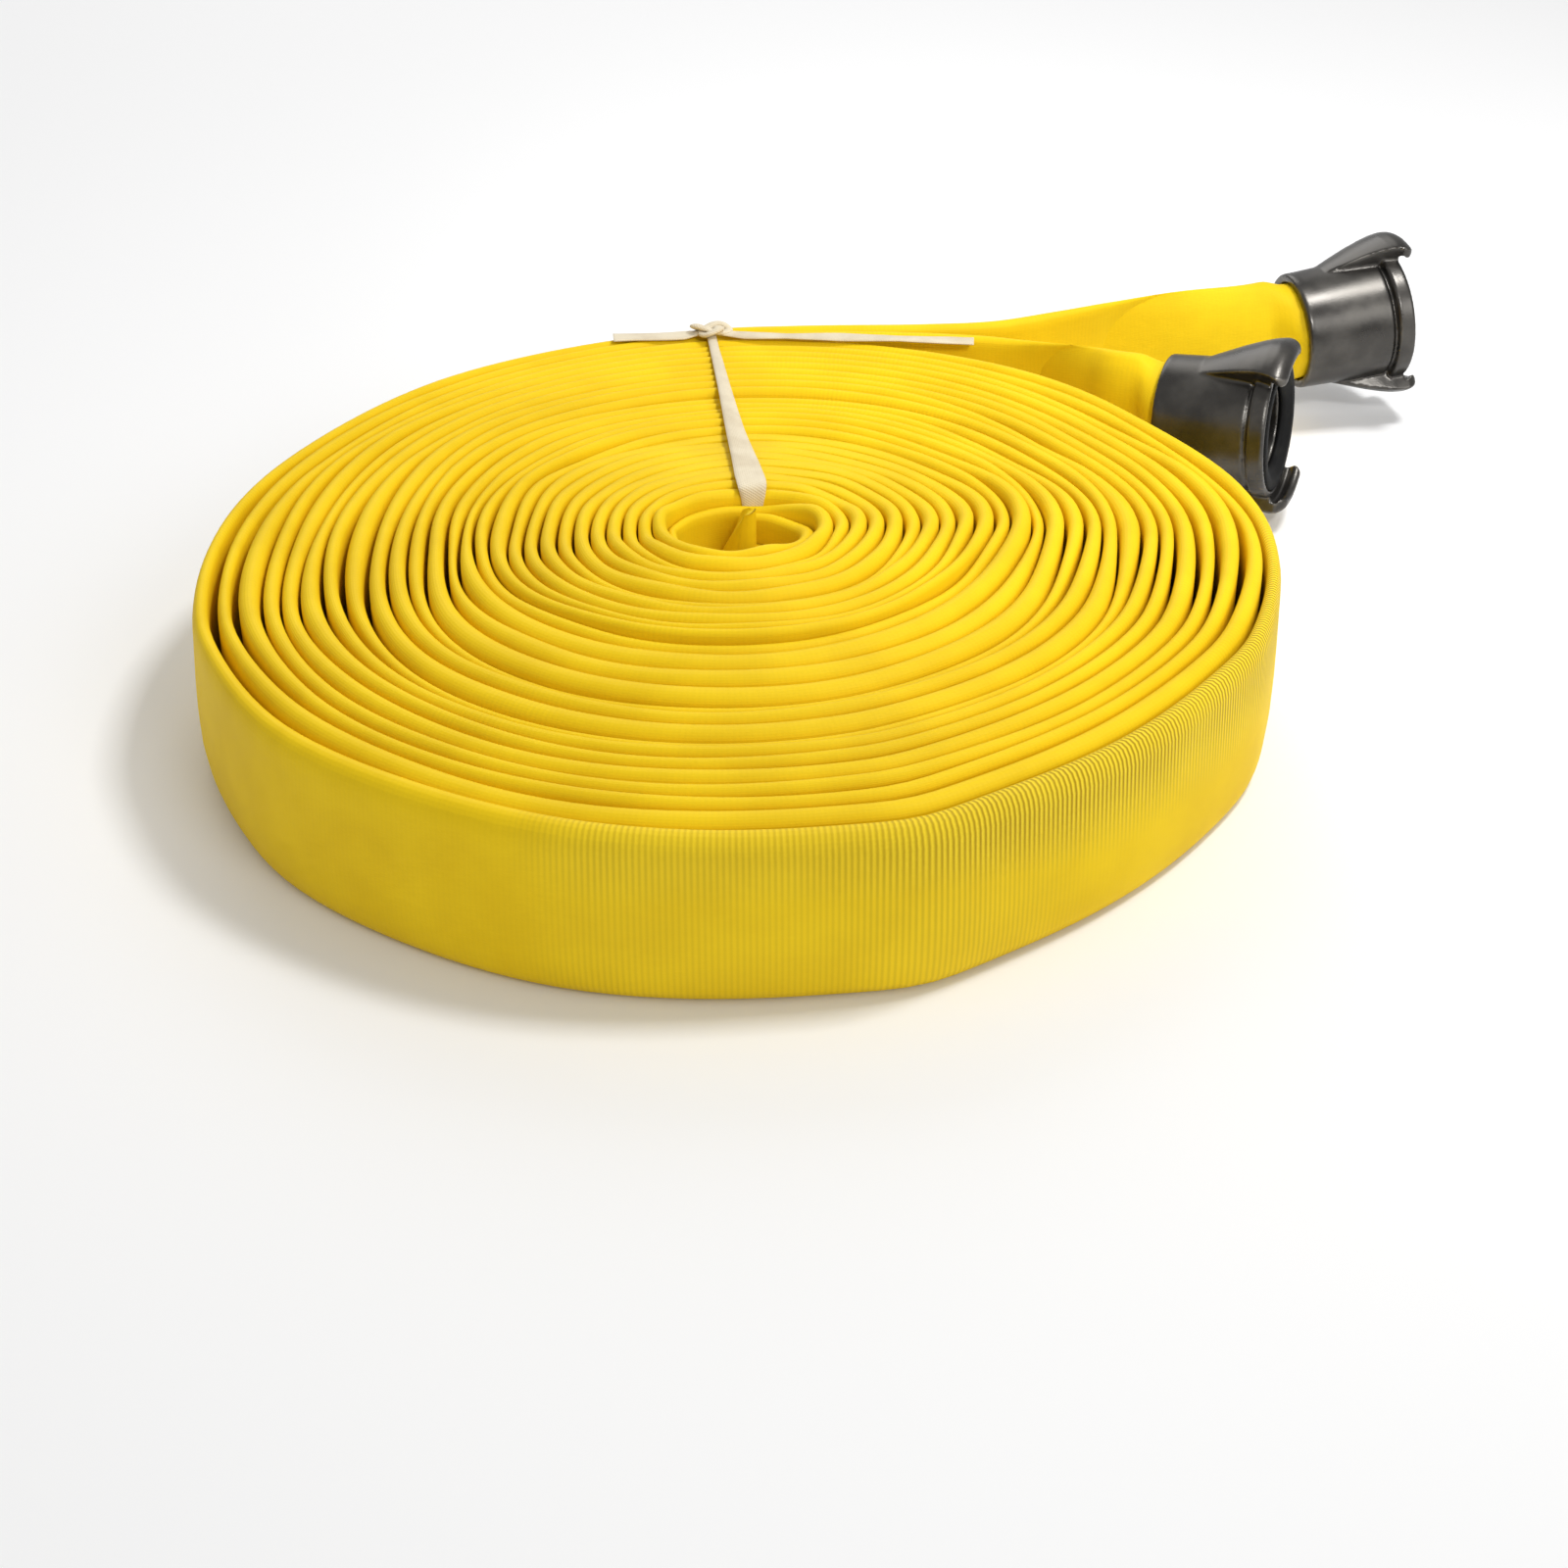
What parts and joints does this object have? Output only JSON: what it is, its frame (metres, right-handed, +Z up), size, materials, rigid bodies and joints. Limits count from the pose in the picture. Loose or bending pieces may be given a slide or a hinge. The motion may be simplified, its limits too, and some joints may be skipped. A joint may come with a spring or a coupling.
{
  "type": "rolled fire hose",
  "caption": "Lay-flat forestry fire hose in a doughnut roll, tied with cotton tape, its two quarter-turn couplings free to swing at the back.",
  "frame": {"origin": "middle of the whole object's footprint, on the surface that the roll lies on", "axes": "+Z up, the axis of the roll; +X to the right along the free ends, which leave the roll at its back; +Y to the back"},
  "size_m": [0.5652, 0.5454, 0.0928],
  "materials": {
    "hose_jacket": "woven synthetic jacket, matt with a slight sheen",
    "hose_liner": "smooth rubber lining",
    "coupling_metal": "dark hard-anodised, satin",
    "ring_brass": "plain rolled",
    "seal_rubber": "matt black",
    "tie_tape": "undyed cotton tape"
  },
  "bodies": {
    "roll": {"hose_roll": "hose_jacket", "hose_centre_fold": "hose_jacket", "outer_lead": "hose_jacket", "inner_lead": "hose_jacket", "tie_tape_loop": "tie_tape", "tie_tape_knot": "tie_tape", "tie_tape_left_end": "tie_tape", "tie_tape_right_end": "tie_tape"},
    "outer_end": {"outer_jacket": "hose_jacket", "outer_liner": "hose_liner", "outer_coupling_body": "coupling_metal", "outer_expansion_ring": "ring_brass", "outer_tail_gasket": "seal_rubber", "outer_face_gasket": "seal_rubber"},
    "inner_end": {"inner_jacket": "hose_jacket", "inner_liner": "hose_liner", "inner_coupling_body": "coupling_metal", "inner_expansion_ring": "ring_brass", "inner_tail_gasket": "seal_rubber", "inner_face_gasket": "seal_rubber"}
  },
  "joints": [
    {"name": "outer_end_bend", "type": "hinge", "parent": "roll", "child": "outer_end", "pos_m": [-0.01393, 0.18759, 0.0332], "axis": [0, 0, 1], "range_deg": [-3, 30]},
    {"name": "inner_end_bend", "type": "hinge", "parent": "roll", "child": "inner_end", "pos_m": [0.05407, 0.17189, 0.0332], "axis": [0, 0, 1], "range_deg": [-5, 12]}
  ]
}
